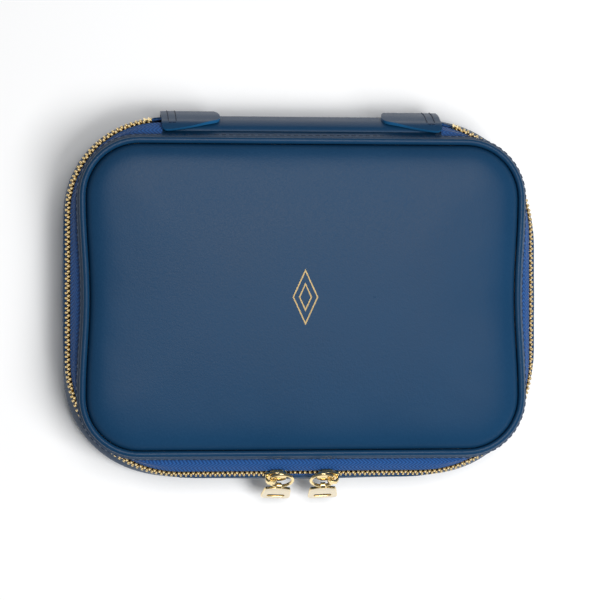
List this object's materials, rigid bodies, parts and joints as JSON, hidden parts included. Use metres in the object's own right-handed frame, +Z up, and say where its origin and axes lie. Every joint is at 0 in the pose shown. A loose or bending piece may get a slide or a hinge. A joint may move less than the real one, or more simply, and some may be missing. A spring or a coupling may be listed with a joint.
{
  "type": "jewellery case",
  "caption": "Zip-around leather jewellery case with a padded hinged lid, a carrying strap on the back and a lined tray with dividers, ring rolls and snap tabs.",
  "frame": {"origin": "centre of the flat bottom face, on the surface the case lies on", "axes": "+X to the right along the long side, +Y towards the hinge and the carrying strap, +Z up through the lid"},
  "size_m": [0.2458, 0.1978, 0.0456],
  "materials": {
    "navy_leather": "satin, fine smooth grain",
    "leather_edge": "painted edge",
    "zip_tape": "herringbone weave",
    "gold_metal": "polished gold plate",
    "gold_satin": "frosted gold plate",
    "suede": "microsuede",
    "board": "grey board",
    "foam": "soft foam",
    "elastic": "ribbed elastic"
  },
  "bodies": {
    "base": {"bottom_panel": "navy_leather", "bottom_board": "board", "bottom_piping": "navy_leather", "side_wall": "navy_leather", "wall_board": "board", "back_panel": "navy_leather", "back_board": "board", "hinge_strip": "navy_leather", "lower_zip_tape": "zip_tape", "lower_zip_teeth": "gold_metal", "zip_stop_left": "gold_metal", "zip_stop_right": "gold_metal", "base_lining": "suede", "divider_long": "suede", "divider_front": "suede", "divider_back": "suede", "ring_roll_1": "suede", "ring_roll_2": "suede", "ring_roll_3": "suede", "ring_roll_4": "suede", "ring_roll_5": "suede", "handle_end_left": "navy_leather", "handle_end_right": "navy_leather", "tab_left": "navy_leather", "tab_right": "navy_leather"},
    "lid": {"top_panel": "navy_leather", "top_foam": "foam", "top_board": "board", "lid_piping": "navy_leather", "lid_binding": "navy_leather", "upper_zip_tape": "zip_tape", "upper_zip_teeth": "gold_metal", "lid_lining": "suede", "lid_pocket": "suede", "pocket_trim": "suede", "pocket_elastic": "elastic", "necklace_bar": "navy_leather"},
    "handle": {"handle_grip": "navy_leather"},
    "slider_left": {"slider_left": "gold_metal", "bridge_left": "gold_metal"},
    "ring_left": {"ring_left": "gold_metal"},
    "pull_left": {"pull_left": "gold_satin"},
    "slider_right": {"slider_right": "gold_metal", "bridge_right": "gold_metal"},
    "ring_right": {"ring_right": "gold_metal"},
    "pull_right": {"pull_right": "gold_satin"},
    "necklace_tab_1": {"necklace_tab_1": "navy_leather", "snap_cap_1": "gold_metal"},
    "necklace_tab_2": {"necklace_tab_2": "navy_leather", "snap_cap_2": "gold_metal"},
    "necklace_tab_3": {"necklace_tab_3": "navy_leather", "snap_cap_3": "gold_metal"},
    "necklace_tab_4": {"necklace_tab_4": "navy_leather", "snap_cap_4": "gold_metal"}
  },
  "joints": [
    {"name": "lid_hinge", "type": "hinge", "parent": "base", "child": "lid", "pos_m": [0, 0.085, 0.0335], "axis": [-1, 0, 0], "range_deg": [0, 110]},
    {"name": "handle_lift", "type": "slide", "parent": "base", "child": "handle", "axis": [0, 1, 0], "range_m": [0, 0.016]},
    {"name": "slider_left_run", "type": "slide", "parent": "base", "child": "slider_left", "axis": [-1, 0, 0], "range_m": [0, 0.044]},
    {"name": "slider_right_run", "type": "slide", "parent": "base", "child": "slider_right", "axis": [1, 0, 0], "range_m": [0, 0.044]},
    {"name": "ring_left_swing", "type": "hinge", "parent": "slider_left", "child": "ring_left", "pos_m": [-0.016, -0.09351, 0.02915], "axis": [0, -0.5446, -0.8387], "range_deg": [0, 90]},
    {"name": "pull_left_swing", "type": "hinge", "parent": "ring_left", "child": "pull_left", "pos_m": [-0.01148, -0.09753, 0.02296], "axis": [-0.9969, 0.0427, 0.0658], "range_deg": [-10, 90]},
    {"name": "ring_right_swing", "type": "hinge", "parent": "slider_right", "child": "ring_right", "pos_m": [0.016, -0.09351, 0.02915], "axis": [0, 0.5446, 0.8387], "range_deg": [0, 90]},
    {"name": "pull_right_swing", "type": "hinge", "parent": "ring_right", "child": "pull_right", "pos_m": [0.01148, -0.09753, 0.02296], "axis": [-0.9969, -0.0427, -0.0658], "range_deg": [-10, 90]},
    {"name": "necklace_tab_1_swing", "type": "hinge", "parent": "lid", "child": "necklace_tab_1", "pos_m": [-0.008, -0.057, 0.032], "axis": [-1, 0, 0], "range_deg": [0, 90]},
    {"name": "necklace_tab_2_swing", "type": "hinge", "parent": "lid", "child": "necklace_tab_2", "pos_m": [0.022, -0.057, 0.032], "axis": [-1, 0, 0], "range_deg": [0, 90]},
    {"name": "necklace_tab_3_swing", "type": "hinge", "parent": "lid", "child": "necklace_tab_3", "pos_m": [0.052, -0.057, 0.032], "axis": [-1, 0, 0], "range_deg": [0, 90]},
    {"name": "necklace_tab_4_swing", "type": "hinge", "parent": "lid", "child": "necklace_tab_4", "pos_m": [0.082, -0.057, 0.032], "axis": [-1, 0, 0], "range_deg": [0, 90]}
  ]
}
